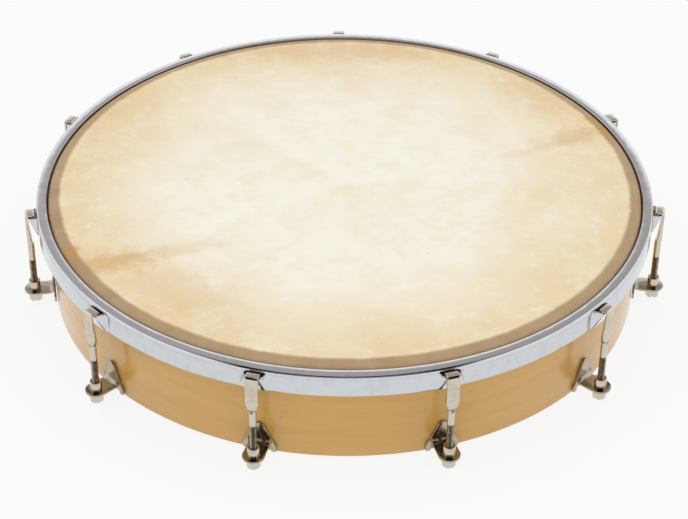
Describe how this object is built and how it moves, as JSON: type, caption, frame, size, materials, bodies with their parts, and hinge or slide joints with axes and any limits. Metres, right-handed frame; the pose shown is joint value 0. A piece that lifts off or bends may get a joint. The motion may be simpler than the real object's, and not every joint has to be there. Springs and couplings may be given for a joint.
{
  "type": "tunable hand drum",
  "caption": "Shallow single-headed hand drum: bent ply frame, natural hide, steel counter hoop with pressed ears, and hook screws drawn down by slotted nuts in bolted brackets.",
  "frame": {"origin": "the middle of the playing face, on top of the hide", "axes": "+Z out of the playing face, +Y towards the first tension hook, which stands at the back of the picture, and the other hooks follow anticlockwise seen from +Z"},
  "size_m": [0.4178, 0.4135, 0.0701],
  "materials": {
    "lacquered_ply": "bent ply with a clear satin lacquer",
    "natural_hide": "dry translucent rawhide, faintly mottled",
    "chromed_steel": "chrome plated pressed steel",
    "nickelled_steel": "nickel plated, slightly dulled",
    "plain_steel": "plain zinc grey"
  },
  "bodies": {
    "frame": {"frame_shell": "lacquered_ply", "skin_membrane": "natural_hide", "bracket_01": "nickelled_steel", "bracket_02": "nickelled_steel", "bracket_03": "nickelled_steel", "bracket_04": "nickelled_steel", "bracket_05": "nickelled_steel", "bracket_06": "nickelled_steel", "bracket_07": "nickelled_steel", "bracket_08": "nickelled_steel", "bracket_09": "nickelled_steel", "bracket_10": "nickelled_steel", "bracket_11": "nickelled_steel", "stud_nut_01": "plain_steel", "stud_nut_02": "plain_steel", "stud_nut_03": "plain_steel", "stud_nut_04": "plain_steel", "stud_nut_05": "plain_steel", "stud_nut_06": "plain_steel", "stud_nut_07": "plain_steel", "stud_nut_08": "plain_steel", "stud_nut_09": "plain_steel", "stud_nut_10": "plain_steel", "stud_nut_11": "plain_steel"},
    "hoop": {"counter_hoop": "chromed_steel", "flesh_hoop": "plain_steel", "skin_lap": "natural_hide", "tension_hook_01": "nickelled_steel", "tension_hook_02": "nickelled_steel", "tension_hook_03": "nickelled_steel", "tension_hook_04": "nickelled_steel", "tension_hook_05": "nickelled_steel", "tension_hook_06": "nickelled_steel", "tension_hook_07": "nickelled_steel", "tension_hook_08": "nickelled_steel", "tension_hook_09": "nickelled_steel", "tension_hook_10": "nickelled_steel", "tension_hook_11": "nickelled_steel"},
    "nut_01": {"sleeve_nut_01": "nickelled_steel"},
    "nut_02": {"sleeve_nut_02": "nickelled_steel"},
    "nut_03": {"sleeve_nut_03": "nickelled_steel"},
    "nut_04": {"sleeve_nut_04": "nickelled_steel"},
    "nut_05": {"sleeve_nut_05": "nickelled_steel"},
    "nut_06": {"sleeve_nut_06": "nickelled_steel"},
    "nut_07": {"sleeve_nut_07": "nickelled_steel"},
    "nut_08": {"sleeve_nut_08": "nickelled_steel"},
    "nut_09": {"sleeve_nut_09": "nickelled_steel"},
    "nut_10": {"sleeve_nut_10": "nickelled_steel"},
    "nut_11": {"sleeve_nut_11": "nickelled_steel"}
  },
  "joints": [
    {"name": "hoop_slide", "type": "slide", "parent": "frame", "child": "hoop", "axis": [0, 0, 1], "range_m": [-0.004, 0.002]},
    {"name": "nut_01_turn", "type": "hinge", "parent": "frame", "child": "nut_01", "pos_m": [0, 0.2042, -0.0637], "axis": [0, 0, 1], "range_deg": [-1029, 2058]},
    {"name": "nut_02_turn", "type": "hinge", "parent": "frame", "child": "nut_02", "pos_m": [-0.1104, 0.17178, -0.0637], "axis": [0, 0, 1], "range_deg": [-1029, 2058]},
    {"name": "nut_03_turn", "type": "hinge", "parent": "frame", "child": "nut_03", "pos_m": [-0.18575, 0.08483, -0.0637], "axis": [0, 0, 1], "range_deg": [-1029, 2058]},
    {"name": "nut_04_turn", "type": "hinge", "parent": "frame", "child": "nut_04", "pos_m": [-0.20212, -0.02906, -0.0637], "axis": [0, 0, 1], "range_deg": [-1029, 2058]},
    {"name": "nut_05_turn", "type": "hinge", "parent": "frame", "child": "nut_05", "pos_m": [-0.15432, -0.13372, -0.0637], "axis": [0, 0, 1], "range_deg": [-1029, 2058]},
    {"name": "nut_06_turn", "type": "hinge", "parent": "frame", "child": "nut_06", "pos_m": [-0.05753, -0.19593, -0.0637], "axis": [0, 0, 1], "range_deg": [-1029, 2058]},
    {"name": "nut_07_turn", "type": "hinge", "parent": "frame", "child": "nut_07", "pos_m": [0.05753, -0.19593, -0.0637], "axis": [0, 0, 1], "range_deg": [-1029, 2058]},
    {"name": "nut_08_turn", "type": "hinge", "parent": "frame", "child": "nut_08", "pos_m": [0.15432, -0.13372, -0.0637], "axis": [0, 0, 1], "range_deg": [-1029, 2058]},
    {"name": "nut_09_turn", "type": "hinge", "parent": "frame", "child": "nut_09", "pos_m": [0.20212, -0.02906, -0.0637], "axis": [0, 0, 1], "range_deg": [-1029, 2058]},
    {"name": "nut_10_turn", "type": "hinge", "parent": "frame", "child": "nut_10", "pos_m": [0.18575, 0.08483, -0.0637], "axis": [0, 0, 1], "range_deg": [-1029, 2058]},
    {"name": "nut_11_turn", "type": "hinge", "parent": "frame", "child": "nut_11", "pos_m": [0.1104, 0.17178, -0.0637], "axis": [0, 0, 1], "range_deg": [-1029, 2058]}
  ],
  "couplings": [
    {"joint": "nut_01_turn", "follows": "hoop_slide", "rad_per_m": -8976},
    {"joint": "nut_02_turn", "follows": "hoop_slide", "rad_per_m": -8976},
    {"joint": "nut_03_turn", "follows": "hoop_slide", "rad_per_m": -8976},
    {"joint": "nut_04_turn", "follows": "hoop_slide", "rad_per_m": -8976},
    {"joint": "nut_05_turn", "follows": "hoop_slide", "rad_per_m": -8976},
    {"joint": "nut_06_turn", "follows": "hoop_slide", "rad_per_m": -8976},
    {"joint": "nut_07_turn", "follows": "hoop_slide", "rad_per_m": -8976},
    {"joint": "nut_08_turn", "follows": "hoop_slide", "rad_per_m": -8976},
    {"joint": "nut_09_turn", "follows": "hoop_slide", "rad_per_m": -8976},
    {"joint": "nut_10_turn", "follows": "hoop_slide", "rad_per_m": -8976},
    {"joint": "nut_11_turn", "follows": "hoop_slide", "rad_per_m": -8976}
  ]
}
